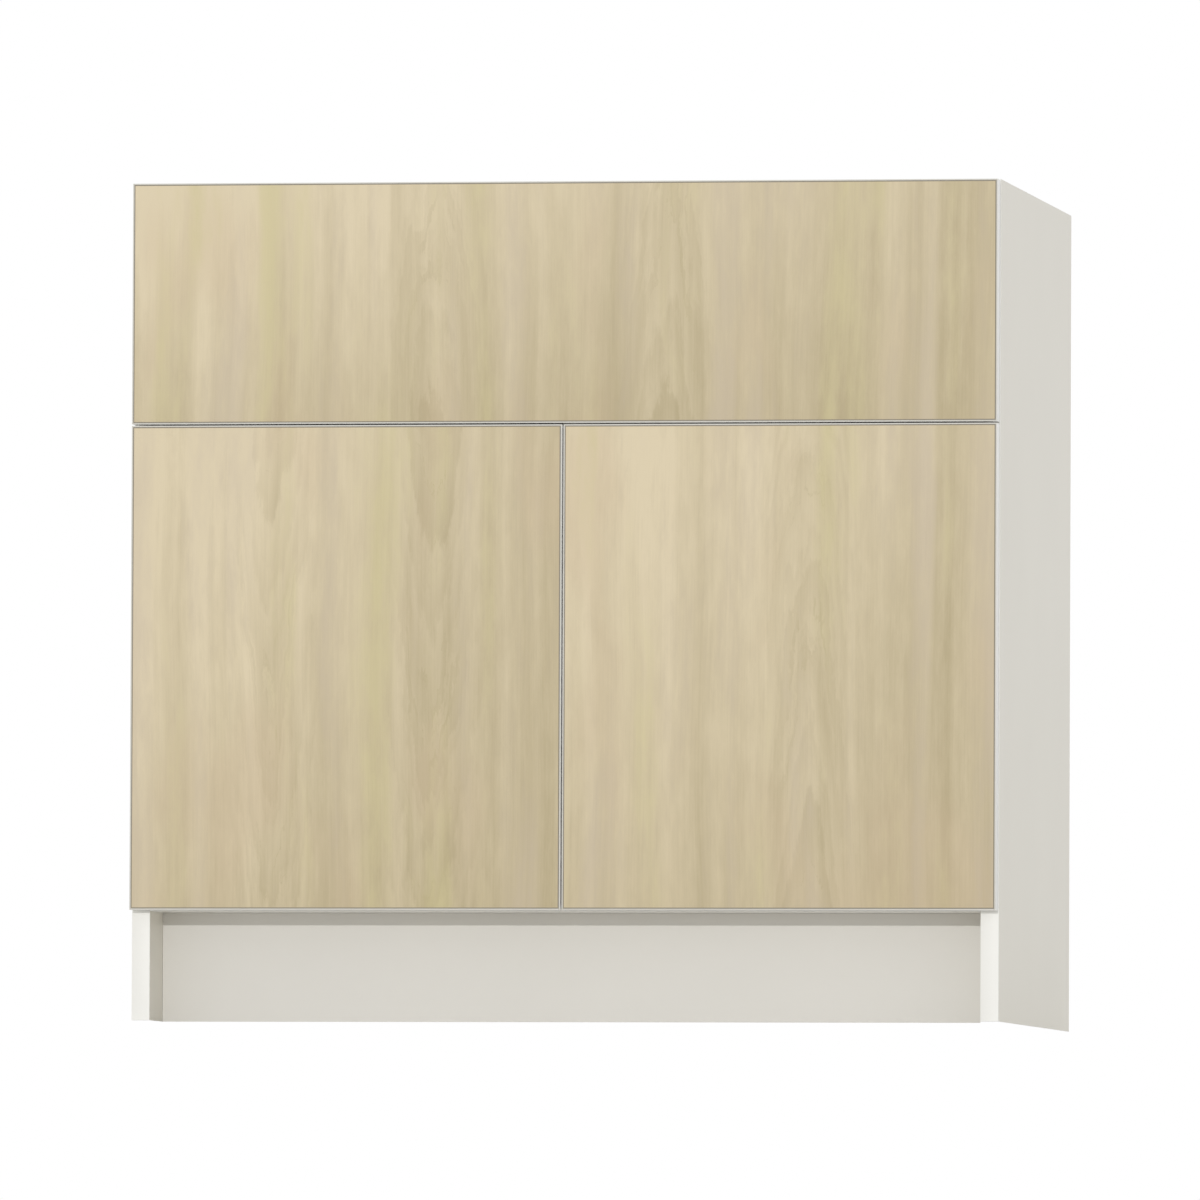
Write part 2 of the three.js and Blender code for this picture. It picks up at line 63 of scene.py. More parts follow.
class Wire:
    """One output of a material's nodes. Arithmetic on it adds Math nodes to the same material."""

    def __init__(self, socket):
        self.socket = socket

    def node(self, kind, settings, sockets, output=0):
        """A node of that kind: its settings first, then the values or wires of its sockets."""
        tree = self.socket.id_data
        made = tree.nodes.new("ShaderNode" + kind)
        for name, value in settings.items():
            setattr(made, name, value)
        for key, value in sockets.items():
            if isinstance(value, Wire):
                tree.links.new(value.socket, made.inputs[key])
            else:
                made.inputs[key].default_value = value
        return Wire(made.outputs[output])

    def math(self, operation, *others):
        return self.node("Math", {"operation": operation}, dict(enumerate((self, *others))))

    def __add__(self, other):
        return self.math("ADD", other)

    def __sub__(self, other):
        return self.math("SUBTRACT", other)

    def __rsub__(self, other):
        return self * -1 + other

    def __mul__(self, other):
        return self.math("MULTIPLY", other)

    __radd__ = __add__
    __rmul__ = __mul__

    def step(self, start, end):
        """0 below start and 1 above end, with a smooth rise between them."""
        return self.node(
            "MapRange",
            {"interpolation_type": "SMOOTHSTEP"},
            {"Value": self, "From Min": start, "From Max": end},
        )

    def along(self, axis):
        """This place's distance along one axis."""
        return self.node("SeparateXYZ", {}, {0: self}, "XYZ".index(axis))

    def stretched(self, x, y, z):
        """This place with each axis multiplied, so that a pattern of unit size has that many a metre."""
        return self.node("VectorMath", {"operation": "MULTIPLY"}, {0: self, 1: (x, y, z)})

    def noise(self, x, y, z, detail, roughness=0.5):
        """Cloudy noise from 0 to 1, with that many clouds a metre along each axis."""
        sockets = {"Vector": self.stretched(x, y, z), "Scale": 1.0, "Detail": detail, "Roughness": roughness}
        return self.node("TexNoise", {}, sockets)

    def cells(self, x, y, z):
        """A chance number from 0 to 1 for each cell, with that many cells a metre along each axis."""
        sockets = {"Vector": self.stretched(x, y, z), "Scale": 1.0}
        return self.node("TexVoronoi", {}, sockets, "Color").along("X")

    def rings(self, per_metre):
        """Uneven bands that lie across this distance."""
        sockets = {"W": self, "Scale": per_metre, "Detail": 2.0}
        return self.node("TexNoise", {"noise_dimensions": "1D"}, sockets)

    def mixed(self, first, second):
        """The first colour where this is 0 and the second where it is 1."""
        return self.node("Mix", {"data_type": "RGBA"}, {0: self, 6: first, 7: second}, 2)

    def bump(self, height):
        """The surface raised by this share of height, in metres."""
        return self.node("Bump", {}, {"Height": self, "Distance": height, "Strength": 1.0})

    def feeds(self, shader, socket):
        """Plugs this into that socket of the shader."""
        self.socket.id_data.links.new(self.socket, shader.inputs[socket])


def tint(red, green, blue):
    """A colour given from 0 to 255, as it shows on a screen, in the linear numbers that a material takes."""
    shown = [part / 255 for part in (red, green, blue)]
    linear = [part / 12.92 if part <= 0.04045 else ((part + 0.055) / 1.055) ** 2.4 for part in shown]
    return (*linear, 1.0)


def new_finish(name, **constants):
    """A material, its shader with these constant sockets, and the wire of the piece's own coordinates."""
    material = bpy.data.materials.new(name)
    material.use_nodes = True
    nodes = material.node_tree.nodes
    shader = nodes["Principled BSDF"]
    for socket, value in constants.items():
        shader.inputs[socket.replace("_", " ")].default_value = value
    return material, shader, Wire(nodes.new("ShaderNodeTexCoord").outputs["Object"])


def dress(piece, material):
    """Gives the piece that one material."""
    piece.data.materials.clear()
    piece.data.materials.append(material)


MELAMINE = tint(238, 234, 223)
# The toe kick's board is a shade darker, as painted shade, and the bottom a shade whiter, as painted
# light that lifts the shade on its underside under the doors
PAINTED_SHADE_AND_LIGHT_MELAMINES = {"toe_kick_board": tint(230, 227, 220), "bottom_panel": tint(246, 244, 239)}
CHIPS_LIGHT = tint(214, 186, 143)
CHIPS_DARK = tint(150, 116, 78)
CHIPS_ALONG = 240  # to the metre, in the board's plane
CHIPS_ACROSS = 950  # through its thickness
FACING = 0.0003  # thickness of the melamine paper and its resin
FACING_ROUGHNESS = 0.38
ORANGE_PEEL = 0.00004  # height of the melamine's fine waves
CHIP_RELIEF = 0.0003  # height of the chips in a sawn edge


def board_finish(node, axis, banded, melamine):
    """Melamine on the two faces across the axis. Between them the chipboard shows, unless it is banded."""
    material, shader, place = new_finish(node + "_board", Specular_IOR_Level=0.4)
    low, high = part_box(node)
    index = "XYZ".index(axis)
    half = (high[index] - low[index]) / 2
    speckle = place.noise(900, 900, 900, 3)
    cloud = place.noise(5, 5, 5, 2)
    shade = (speckle - 0.5) * 0.03 + (cloud - 0.5) * 0.05 + 1
    paper = shade.node("VectorMath", {"operation": "SCALE"}, {0: melamine[:3], "Scale": shade})
    orange_peel = place.noise(1400, 1400, 1400, 1)
    if banded:
        paper.feeds(shader, "Base Color")
        (orange_peel * 0.1 + FACING_ROUGHNESS).feeds(shader, "Roughness")
        orange_peel.bump(ORANGE_PEEL).feeds(shader, "Normal")
        return material
    depth = (place.along(axis) - (low[index] + half)).math("ABSOLUTE")
    core = 1 - depth.step(half - 1.2 * FACING, half - 0.8 * FACING)
    counts = [CHIPS_ACROSS if name == axis else CHIPS_ALONG for name in "XYZ"]
    chip = place.cells(*counts)
    grit = place.noise(900, 900, 900, 3)
    chips = (chip * 0.7 + (grit - 0.5) * 0.7).mixed(CHIPS_LIGHT, CHIPS_DARK)
    core.mixed(paper, chips).feeds(shader, "Base Color")
    (core * 0.4 + orange_peel * 0.1 + FACING_ROUGHNESS).feeds(shader, "Roughness")
    (orange_peel * 0.1 + core * (chip * 0.5 + grit)).bump(CHIP_RELIEF).feeds(shader, "Normal")
    return material


BOARD_AXES = {
    "side_panel_left": "X",
    "side_panel_right": "X",
    "bottom_panel": "Z",
    "front_top_rail": "Y",
    "mid_rail": "Y",
    "rear_top_rail": "Y",
    "rear_bottom_rail": "Y",
    "toe_kick_board": "Y",
    "rear_toe_rail": "Y",
}
BANDED_RAILS = ("front_top_rail", "mid_rail")
for node, axis in BOARD_AXES.items():
    # The toe kick and the bottom take the melamine with painted shade and painted light
    melamine = PAINTED_SHADE_AND_LIGHT_MELAMINES.get(node, MELAMINE)
    dress(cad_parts[node], board_finish(node, axis, node in BANDED_RAILS, melamine))

# ---- Carcass edge bands -----------------------------------------------------------------------------------
# A millimetre of white plastic, glued along the front edges of the sides and the bottom. Its corners are
# scraped round.

BAND_CORNER = 0.00025  # radius
CORNER_STEPS = 2
BEND_STEPS = 5
BEVELLED_FROM = math.radians(32)  # the angle between two faces from which their edge is rounded
FLAT = math.radians(1)  # the largest angle between triangles of one flat face
SAME_POINT = 1e-6
SAME_EDGE = 1e-5


def show(name, mesh, body, material, slot, *replaced):
    """A piece in the scene, moving with that body, in that material, and standing for those CAD nodes."""
    mesh.materials.clear()
    mesh.materials.append(material)
    piece = bpy.data.objects.new(name, mesh)
    bpy.context.scene.collection.objects.link(piece)
    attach(piece, body)
    if replaced:
        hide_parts(*replaced)
    return piece


def round_off(node, body, radius, material, slot, bends=()):
    """A copy of the CAD node with its edges rounded. A bend is (x, z, radius) of an edge along Y."""
    shape = bmesh.new()
    shape.from_mesh(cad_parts[node].data)
    bmesh.ops.remove_doubles(shape, verts=shape.verts, dist=SAME_POINT)
    bmesh.ops.dissolve_limit(shape, angle_limit=FLAT, verts=shape.verts, edges=shape.edges)
    for x, z, bend in bends:
        ends = {end for end in shape.verts if math.hypot(end.co.x - x, end.co.z - z) < SAME_EDGE}
        edges = [edge for edge in shape.edges if ends.issuperset(edge.verts)]
        bmesh.ops.bevel(shape, geom=edges, offset=bend, segments=BEND_STEPS, profile=0.5, affect="EDGES")
        # The faces come out of it in an order that changes from run to run
        shape.verts.index_update()
        ranked = sorted(shape.faces, key=lambda face: sorted(end.index for end in face.verts))
        for rank, face in enumerate(ranked):
            face.index = rank
        shape.faces.sort()
    for face in shape.faces:
        face.smooth = True
    mesh = bpy.data.meshes.new(node + "_rounded")
    shape.to_mesh(mesh)
    shape.free()
    piece = show(node + "_rounded", mesh, body, material, slot, node)
    bevel = piece.modifiers.new("arrises", "BEVEL")
    bevel.width = radius
    bevel.segments = CORNER_STEPS
    bevel.limit_method = "ANGLE"
    bevel.angle_limit = BEVELLED_FROM
    bevel.use_clamp_overlap = False
    bevel.harden_normals = True


band_finish, shader, place = new_finish(
    "white_edge_band", Base_Color=tint(249, 248, 243), Specular_IOR_Level=0.45
)
(place.noise(300, 300, 60, 2) * 0.12 + 0.3).feeds(shader, "Roughness")
place.noise(1200, 1200, 1200, 1).bump(0.00003).feeds(shader, "Normal")
for node in ("edge_band_side_left", "edge_band_side_right", "edge_band_bottom"):
    round_off(node, "carcass", BAND_CORNER, band_finish, "carcass_edge_band")

# ---- Back panel -------------------------------------------------------------------------------------------
# Fibreboard, 6 mm thick, lacquered white on the inside and bare and brown on the wall side and at its cuts.
# It stands in grooves of the sides and the bottom, and the pipes come through its opening.

BACK_PAINT = tint(238, 236, 230)
FIBRE_LIGHT = tint(186, 152, 112)
FIBRE_DARK = tint(142, 108, 74)
LACQUER = 0.0001  # thickness
material, shader, place = new_finish("back_board", Specular_IOR_Level=0.3)
back_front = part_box("back_panel")[0].y
bare = place.along("Y").step(back_front + LACQUER, back_front + 3 * LACQUER)
fibre = place.noise(260, 260, 260, 4, 0.6).mixed(FIBRE_DARK, FIBRE_LIGHT)
bare.mixed(BACK_PAINT, fibre).feeds(shader, "Base Color")
(bare * 0.3 + 0.45).feeds(shader, "Roughness")
place.noise(600, 600, 600, 3).bump(0.0001).feeds(shader, "Normal")
dress(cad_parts["back_panel"], material)

# ---- Fittings of the carcass ------------------------------------------------------------------------------
# Cam fittings draw the rails and the bottom against the sides; white plastic caps cover them. A zinc-plated
# steel angle, bent from 2 mm strip, is screwed to the side in each top corner.

TURN_STEPS = 24
SHARP_FROM = math.radians(40)  # the angle between two faces from which their edge is shaded sharp


def turned(name, rings, tip):
    """A mesh turned about Z through rings of (radius, height) to a tip. A radius may depend on the angle."""
    shape = bmesh.new()
    angles = [2 * math.pi * step / TURN_STEPS for step in range(TURN_STEPS)]
    rows = []
    for radius, height in rings:
        reach = radius if callable(radius) else lambda angle, radius=radius: radius
        rows.append(
            [
                shape.verts.new((reach(angle) * math.cos(angle), reach(angle) * math.sin(angle), height))
                for angle in angles
            ]
        )
    for lower, upper in zip(rows, rows[1:]):
        for step in range(TURN_STEPS):
            after = (step + 1) % TURN_STEPS
            shape.faces.new((lower[step], lower[after], upper[after], upper[step]))
    shape.faces.new(list(reversed(rows[0])))
    end = shape.verts.new((0, 0, tip))
    for step in range(TURN_STEPS):
        shape.faces.new((rows[-1][step], rows[-1][(step + 1) % TURN_STEPS], end))
    for face in shape.faces:
        face.smooth = True
    mesh = bpy.data.meshes.new(name)
    shape.to_mesh(mesh)
    shape.free()
    mesh.set_sharp_from_angle(angle=SHARP_FROM)
    return mesh


def cross(arm):
    """The outline of a cross, as its radius at each angle. Its corners fall on the steps of the turning."""
    half = arm * math.tan(2 * math.pi / TURN_STEPS)
    hair = 1e-9  # so that nothing is divided by 0

    def reach(angle):
        along, across = abs(math.cos(angle)) + hair, abs(math.sin(angle)) + hair
        return max(min(arm / along, half / across), min(half / along, arm / across))

    return reach


# As shares of the head's radius and height
HEAD_RINGS = [(1, 0), (1, 0.4), (0.94, 0.72), (0.8, 0.93), (0.62, 1)]
RECESS_ARMS = (0.52, 0.364)  # at its mouth and at its floor
RECESS_FLOOR = 0.35
RECESS_TIP = 0.2


def screw_mesh(name, radius, height, shank=()):
    """A pan-head screw with a cross recess, its seat at 0. The shank's rings come first."""
    head = [(radius * share, height * rise) for share, rise in HEAD_RINGS]
    mouth, floor = [cross(radius * share) for share in RECESS_ARMS]
    recess = [(mouth, height), (floor, height * RECESS_FLOOR)]
    return turned(name, [*shank, *head, *recess], height * RECESS_TIP)


def scatter_tree():
    """A fastener at each point of a mesh, facing as the point's own direction says, and turned at random."""
    tree = bpy.data.node_groups.new("fasteners", "GeometryNodeTree")
    sockets = {
        "Points": "NodeSocketGeometry",
        "Fastener": "NodeSocketObject",
        "Size": "NodeSocketFloat",
        "Largest Turn": "NodeSocketFloat",
        "Seed": "NodeSocketInt",
        "Finish": "NodeSocketMaterial",
    }
    for name, kind in sockets.items():
        tree.interface.new_socket(name, in_out="INPUT", socket_type=kind)
    tree.interface.new_socket("Piece", in_out="OUTPUT", socket_type="NodeSocketGeometry")
    source = tree.nodes.new("NodeGroupInput")
    fastener = tree.nodes.new("GeometryNodeObjectInfo")
    facing = tree.nodes.new("GeometryNodeInputNamedAttribute")
    facing.data_type = "FLOAT_VECTOR"
    facing.inputs["Name"].default_value = "facing"
    aligned = tree.nodes.new("FunctionNodeAlignRotationToVector")
    aligned.axis = "Z"
    chance = tree.nodes.new("FunctionNodeRandomValue")
    chance.data_type = "FLOAT"
    spin = tree.nodes.new("FunctionNodeAxisAngleToRotation")
    turned_by = tree.nodes.new("FunctionNodeRotateRotation")
    turned_by.rotation_space = "LOCAL"
    copies = tree.nodes.new("GeometryNodeInstanceOnPoints")
    real = tree.nodes.new("GeometryNodeRealizeInstances")
    finish = tree.nodes.new("GeometryNodeSetMaterial")
    result = tree.nodes.new("NodeGroupOutput")
    links = [
        (source.outputs["Points"], copies.inputs["Points"]),
        (source.outputs["Fastener"], fastener.inputs["Object"]),
        (fastener.outputs["Geometry"], copies.inputs["Instance"]),
        (facing.outputs["Attribute"], aligned.inputs["Vector"]),
        (source.outputs["Largest Turn"], chance.inputs[3]),
        (source.outputs["Seed"], chance.inputs["Seed"]),
        (chance.outputs[1], spin.inputs["Angle"]),
        (aligned.outputs["Rotation"], turned_by.inputs["Rotation"]),
        (spin.outputs["Rotation"], turned_by.inputs["Rotate By"]),
        (turned_by.outputs["Rotation"], copies.inputs["Rotation"]),
        (source.outputs["Size"], copies.inputs["Scale"]),
        (copies.outputs["Instances"], real.inputs["Geometry"]),
        (real.outputs["Geometry"], finish.inputs["Geometry"]),
        (source.outputs["Finish"], finish.inputs["Material"]),
        (finish.outputs["Geometry"], result.inputs["Piece"]),
    ]
    for start, end in links:
        tree.links.new(start, end)
    return tree


FASTENERS = scatter_tree()


def fasten(name, body, mesh, spots, material, slot, *replaced, seed=1):
    """A copy of the mesh at each (place, facing), made one piece that moves with the body."""
    points = bpy.data.meshes.new(name)
    points.from_pydata([place for place, facing in spots], [], [])
    facings = points.attributes.new("facing", "FLOAT_VECTOR", "POINT")
    facings.data.foreach_set("vector", [part for place, facing in spots for part in facing])
    holder = bpy.data.objects.new(name + "_points", points)
    pattern = bpy.data.objects.new(name + "_pattern", mesh)
    bpy.context.scene.collection.objects.link(holder)
    bpy.context.scene.collection.objects.link(pattern)
    modifier = holder.modifiers.new("copies", "NODES")
    modifier.node_group = FASTENERS
    values = {
        "Fastener": pattern,
        "Size": 1.0,
        "Largest Turn": 2 * math.pi,
        "Seed": seed,
        "Finish": material,
    }
    for item in FASTENERS.interface.items_tree:
        if item.name in values:
            modifier[item.identifier] = values[item.name]
    ready = holder.evaluated_get(bpy.context.evaluated_depsgraph_get())
    joined = bpy.data.meshes.new_from_object(ready)
    bpy.data.objects.remove(holder)
    bpy.data.objects.remove(pattern)
    show(name, joined, body, material, slot, *replaced)


SIDES = {"left": -1, "right": 1}


def mirrored(place, facing):
    """A place of the right side and its like on the left, facing likewise."""
    (x, y, z), (turn, forward, rise) = place, facing
    return [((sign * x, y, z), (sign * turn, forward, rise)) for sign in SIDES.values()]


CAP_RADIUS = 0.0085
CAP_RINGS = [(1, 0), (1, 0.0004), (0.96, 0.0009), (0.88, 0.0012), (0.6, 0.00135)]  # share of radius, height
CAP_HEIGHT = 0.0014
CAP_INSET = 0.034  # from the side panel to a cap's middle
BOTTOM_CAPS = (0.2, 0.65)  # shares of the bottom's depth, from its back
cap_finish, shader, place = new_finish("cam_cap", Base_Color=tint(236, 234, 227), Specular_IOR_Level=0.45)
(place.noise(400, 400, 400, 2) * 0.1 + 0.35).feeds(shader, "Roughness")
place.noise(900, 900, 900, 1).bump(0.00002).feeds(shader, "Normal")
cap_mesh = turned("cam_cap", [(CAP_RADIUS * share, height) for share, height in CAP_RINGS], CAP_HEIGHT)
cap_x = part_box("side_panel_right")[0].x - CAP_INSET
cap_spots = []
for node, axis in BOARD_AXES.items():
    if axis == "Y":
        low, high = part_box(node)
        cap_spots += mirrored((cap_x, high.y, (low.z + high.z) / 2), (0, 1, 0))
low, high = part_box("bottom_panel")
for share in BOTTOM_CAPS:
    cap_spots += mirrored((cap_x, share * low.y + (1 - share) * high.y, low.z), (0, 0, -1))
fasten("cam_caps", "carcass", cap_mesh, cap_spots, cap_finish, "carcass_edge_band")

zinc, shader, place = new_finish("zinc_steel", Metallic=1.0)
flake = place.cells(260, 260, 260)
bloom = flake * 0.5 + place.noise(90, 90, 90, 2) * 0.5
bloom.mixed(tint(176, 180, 184), tint(206, 208, 208)).feeds(shader, "Base Color")
(flake * 0.12 + place.noise(700, 700, 700, 2) * 0.12 + 0.28).feeds(shader, "Roughness")
place.noise(1500, 1500, 1500, 2).bump(0.00003).feeds(shader, "Normal")

STRIP = 0.002  # thickness of the steel strip
STRIP_CORNER = 0.0003  # radius
BEND_OUTSIDE = 0.0025
BEND_INSIDE = 0.0006
BRACKET_SCREW_DROP = 0.0135  # under the angle's top
bracket_spots = []
for end in ("front", "rear"):
    for side, sign in SIDES.items():
        node = f"worktop_bracket_{end}_{side}"
        low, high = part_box(node)
        wall = max(abs(low.x), abs(high.x))
        bends = [(sign * wall, high.z, BEND_OUTSIDE), (sign * (wall - STRIP), high.z - STRIP, BEND_INSIDE)]
        round_off(node, "carcass", STRIP_CORNER, zinc, "zinc_steel", bends)
    spot = (wall - STRIP, (low.y + high.y) / 2, high.z - BRACKET_SCREW_DROP)
    bracket_spots += mirrored(spot, (-1, 0, 0))
bracket_screw = screw_mesh("bracket_screw", radius=0.0038, height=0.0022)
fasten("bracket_screws", "carcass", bracket_screw, bracket_spots, zinc, "zinc_steel")

# ---- Fronts -----------------------------------------------------------------------------------------------
# Chipboard faced with laminate that is printed as a pale plain-sawn wood, its grain upright on all three.
# Streaks run up the board, and arches stand over each other where a heart was cut. Each front is painted
# lighter at its upper left: painted light. Where the laminate was trimmed, its darker core shows as a thin
# line inside the edge band.

GRAIN_LIGHT = tint(223, 208, 176)
GRAIN_DARK = tint(184, 169, 133)
GRAIN_RANGE = 38  # screen levels between the two
GRAIN_GREEN = tint(204, 194, 142)
GRAIN_PINK = tint(205, 190, 168)
GRAIN_RUSSET = tint(206, 184, 153)
CORE_LINE = tint(150, 140, 122)
CORE_LINE_WIDTH = 0.0008
# The rings round a heart
TIP_RADIUS = 0.012
HEART_REACH = 0.07  # to where its rings fade out
STROKE_REACH = 0.045
ARCH_SLOPE = 0.13  # how fast an arch narrows as it rises
RINGS_TO_THE_METRE = 110
STROKE_LEVEL = 0.44
STROKE_WIDTH = 0.022
# What the print shows on each front, and the painted light on it:
# hearts: the place across its face, the height of the tip from its middle, and 1 or -1 for arches that point
# up or down;
# streaks: the place across the cabinet, half the width, and what it adds to the light and to the green;
# painted light: the screen levels of painted light gained from its left edge to its right, from its lower
# edge to its upper, and from two opposite corners to the other two.
FRONTS = {
    "false_front": {
        "hearts": [(0.112, 0.04, 1), (-0.138, 0.02, 1)],
        "streaks": [
            (-0.425, 0.05, 0.2, 0.16),
            (-0.322, 0.03, 0.03, 0.18),
            (-0.243, 0.03, -0.2, -0.04),
            (-0.14, 0.03, 0.1, 0.12),
            (-0.092, 0.03, -0.25, 0.12),
            (0.06, 0.08, -0.2, -0.04),
            (0.225, 0.05, 0.15, -0.06),
            (0.322, 0.03, 0.03, 0.14),
            (0.41, 0.03, 0.03, 0.14),
        ],
        "painted_light": (-18, 17, -18),
    },
    "door_left": {
        "hearts": [(-0.077, 0.06, -1), (0.09, 0, -1)],
        "streaks": [
            (-0.44, 0.04, 0.2, -0.04),
            (-0.35, 0.04, 0.03, 0.08),
            (-0.24, 0.03, -0.16, -0.04),
            (-0.165, 0.03, 0.14, 0.06),
            (-0.13, 0.03, -0.04, 0.24),
            (-0.05, 0.04, 0.14, 0.02),
        ],
        "painted_light": (-21, 18, -22),
    },
    "door_right": {
        "hearts": [(0.034, -0.05, 1)],
        "streaks": [
            (0.08, 0.06, 0.06, -0.06),
            (0.155, 0.04, -0.03, 0.1),
            (0.215, 0.04, 0.22, -0.02),
            (0.31, 0.05, 0.14, 0.06),
            (0.405, 0.03, -0.05, 0.16),
        ],
        "painted_light": (-16, 17, -8),
    },
}


def laminate(node, hearts, streaks, painted_light):
    """The printed wood of one front, with painted light that makes it lighter at its upper left."""
    low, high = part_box(node)
    middle = (low + high) / 2
    size = high - low
    material, shader, place = new_finish(node + "_laminate", Specular_IOR_Level=0.35)
    x = place.along("X") - middle.x
    z = place.along("Z") - middle.z
    # Painted light: a slope of tone that makes the front lighter towards its upper left
    painted_light_across, painted_light_upward, painted_light_corners = [levels / GRAIN_RANGE for levels in painted_light]
    painted_light_slope = x * (painted_light_across / size.x) + z * (painted_light_upward / size.z) + x * z * (painted_light_corners / size.x / size.z)
    wander = (place.noise(3, 3, 1.6, 2) - 0.5) * 0.03
    bent_x = place.along("X") + wander
    bent = place.node("CombineXYZ", {}, {0: bent_x, 1: place.along("Y"), 2: place.along("Z")})
    broad = bent.noise(13, 30, 0.8, 2) - 0.5
    streak = bent.noise(50, 30, 0.9, 3, 0.6) - 0.5
    patch = bent.noise(70, 30, 15, 4, 0.65) - 0.5
    fibre = bent.noise(520, 200, 9, 2, 0.6) + bent.noise(1500, 400, 16, 3, 0.65) - 1
    shift = (bent.noise(18, 10, 3.5, 2) - 0.5) * 0.04 + patch * 0.02

    def heart_lines(across, peak, way):
        """Arches that stand over each other, the darkest of them drawn as broken strokes."""
        aside = x + wander - across
        arch = (aside * aside + TIP_RADIUS**2).math("SQRT")
        near = 1 - arch.step(TIP_RADIUS, HEART_REACH)
        ring = (arch + (z - peak) * (ARCH_SLOPE * way) + shift).rings(RINGS_TO_THE_METRE)
        stroke = 1 - (ring - STROKE_LEVEL).math("ABSOLUTE").step(0, STROKE_WIDTH)
        stroke = stroke * (1 - arch.step(TIP_RADIUS, STROKE_REACH))
        return (ring - 0.5) * near - stroke * patch.step(-0.06, 0.08) * 0.3

    figure = sum(heart_lines(*heart) for heart in hearts)
    tone = painted_light_slope + broad * 0.8 + streak * 0.94 + patch * 0.68 + fibre * 0.25 + figure * 0.75 + 0.55
    hue = bent.noise(16, 30, 1.2, 2) + patch * 0.3
    for across, width, light, green in streaks:
        inside = 1 - (bent_x - across).math("ABSOLUTE").step(0, width)
        tone = tone + inside * light
        hue = hue + inside * green
    plain = tone.mixed(GRAIN_DARK, GRAIN_LIGHT)
    warm = (bent.noise(8, 20, 3, 2).step(0.52, 0.66) * 0.3).mixed(plain, GRAIN_RUSSET)
    green = (hue.step(0.52, 0.75) * 0.55).mixed(warm, GRAIN_GREEN)
    print_colour = (hue.step(0.5, 0.28) * 0.55).mixed(green, GRAIN_PINK)
    beyond = (x.math("ABSOLUTE") - size.x / 2).math("MAXIMUM", z.math("ABSOLUTE") - size.z / 2)
    trimmed = beyond.step(-1.1 * CORE_LINE_WIDTH, -0.9 * CORE_LINE_WIDTH)
    trimmed.mixed(print_colour, CORE_LINE).feeds(shader, "Base Color")
    (fibre * 0.12 + 0.47).feeds(shader, "Roughness")
    (fibre + 0.5).bump(0.00006).feeds(shader, "Normal")
    return material


for node, print_plan in FRONTS.items():
    dress(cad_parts[node], laminate(node, **print_plan))

# ---- Edge bands of the fronts -----------------------------------------------------------------------------
# Plastic is glued round each front. It is white outside, and light grey where it is trimmed flush with the
# face. The upright strips reach past the ends of the level ones, which leaves a fine joint at each corner.

FRONT_BAND = 0.0015
FRONT_BAND_CORNER = 0.0003  # radius
BAND_WHITE = tint(251, 250, 247)
BAND_GREYS = (tint(206, 203, 194), tint(216, 213, 204))
JOINT_GREY = tint(168, 164, 154)
JOINT_WIDTH = 0.00012
JOINT_FADE = 0.0001  # at its inner end
WHITE_SKIN = (0.00022, 0.00008)  # the depths at which the white outside starts and is full
for node in FRONTS:
    low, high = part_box(node + "_edge_band")
    material, shader, place = new_finish(node + "_edge_band", Specular_IOR_Level=0.4)
    x = (place.along("X") - (low.x + high.x) / 2).math("ABSOLUTE") - (high.x - low.x) / 2
    z = (place.along("Z") - (low.z + high.z) / 2).math("ABSOLUTE") - (high.z - low.z) / 2
    trimmed = place.noise(90, 90, 90, 2).mixed(*BAND_GREYS)
    plastic = x.math("MAXIMUM", z).step(-WHITE_SKIN[0], -WHITE_SKIN[1]).mixed(trimmed, BAND_WHITE)
    joint = 1 - (x + FRONT_BAND).math("ABSOLUTE").step(JOINT_WIDTH * 0.4, JOINT_WIDTH)
    joint = joint * z.step(-FRONT_BAND - JOINT_FADE, -FRONT_BAND)
    joint.mixed(plastic, JOINT_GREY).feeds(shader, "Base Color")
    (place.noise(500, 500, 500, 1) * 0.1 + 0.4).feeds(shader, "Roughness")
    body = "carcass" if node == "false_front" else node
    round_off(node + "_edge_band", body, FRONT_BAND_CORNER, material, "front_edge_band")

# ---- False front screws and spacers -----------------------------------------------------------------------
# Four pan-head screws go through the rails into the false front. Each has a spacer on it, of clear and
# slightly frosted plastic, between the rail and the front.

SCREW_RADIUS = 0.002
SCREW_HEAD = 0.0046
SCREW_HEIGHT = 0.0028
LEVELS = ("upper", "lower")
FRONT_SCREWS = [f"false_front_screw_{level}_{side}" for level in LEVELS for side in SIDES]
screw_spots = []
for node in FRONT_SCREWS:
    low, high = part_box(node)
    screw_spots.append((((low.x + high.x) / 2, high.y - SCREW_HEIGHT, (low.z + high.z) / 2), (0, 1, 0)))
shank_end = low.y - high.y + SCREW_HEIGHT
shank = [(SCREW_RADIUS * 0.1, shank_end), (SCREW_RADIUS, shank_end + SCREW_RADIUS), (SCREW_RADIUS, 0)]
long_screw = screw_mesh("false_front_screw", SCREW_HEAD, SCREW_HEIGHT, shank)
fasten("false_front_screws", "carcass", long_screw, screw_spots, zinc, "zinc_steel", *FRONT_SCREWS, seed=2)

clear_plastic, shader, place = new_finish(
    "clear_plastic", Base_Color=tint(250, 250, 247), Transmission_Weight=0.6, IOR=1.49
)
(place.noise(500, 500, 500, 2) * 0.15 + 0.12).feeds(shader, "Roughness")
place.noise(800, 800, 800, 1).bump(0.00002).feeds(shader, "Normal")
for node in FRONT_SCREWS:
    dress(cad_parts[node.replace("screw", "spacer")], clear_plastic)

# ---- Door bumpers -----------------------------------------------------------------------------------------
# A domed button of the same plastic near each end of a door's free edge, stuck to the door's back. The door
# closes softly against it.

